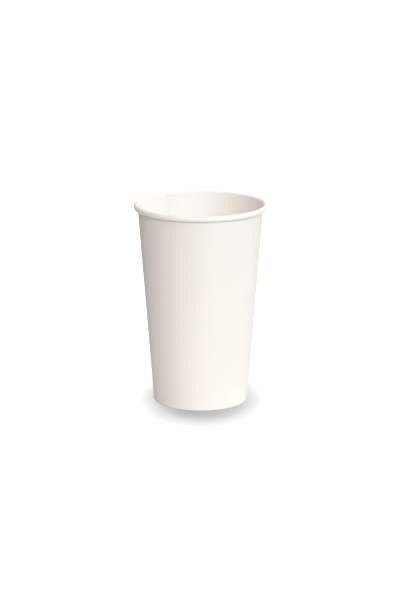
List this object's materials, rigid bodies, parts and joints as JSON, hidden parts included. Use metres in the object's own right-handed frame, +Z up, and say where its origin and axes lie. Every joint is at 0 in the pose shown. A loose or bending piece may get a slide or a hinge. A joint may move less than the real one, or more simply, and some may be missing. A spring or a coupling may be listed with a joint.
{
  "type": "paper coffee cup",
  "caption": "Single-wall paper cup for hot drinks: tapered wall with a side seam, rolled rim, and a recessed bottom pinched in the foot.",
  "frame": {"origin": "on the cup's axis, in the plane that the cup stands on", "axes": "+Z up through the open mouth, +Y towards the side seam, +X along the seam's outer cut edge's facing direction"},
  "size_m": [0.09, 0.0901, 0.1361],
  "materials": {
    "sidewall": "uncoated matt paperboard outside, thin satin plastic coating inside, warm white",
    "bottom_disc": "paperboard with a thin satin plastic coating on its upper side, warm white"
  },
  "bodies": {
    "root": {"sidewall": "sidewall", "bottom_disc": "bottom_disc"}
  },
  "joints": []
}
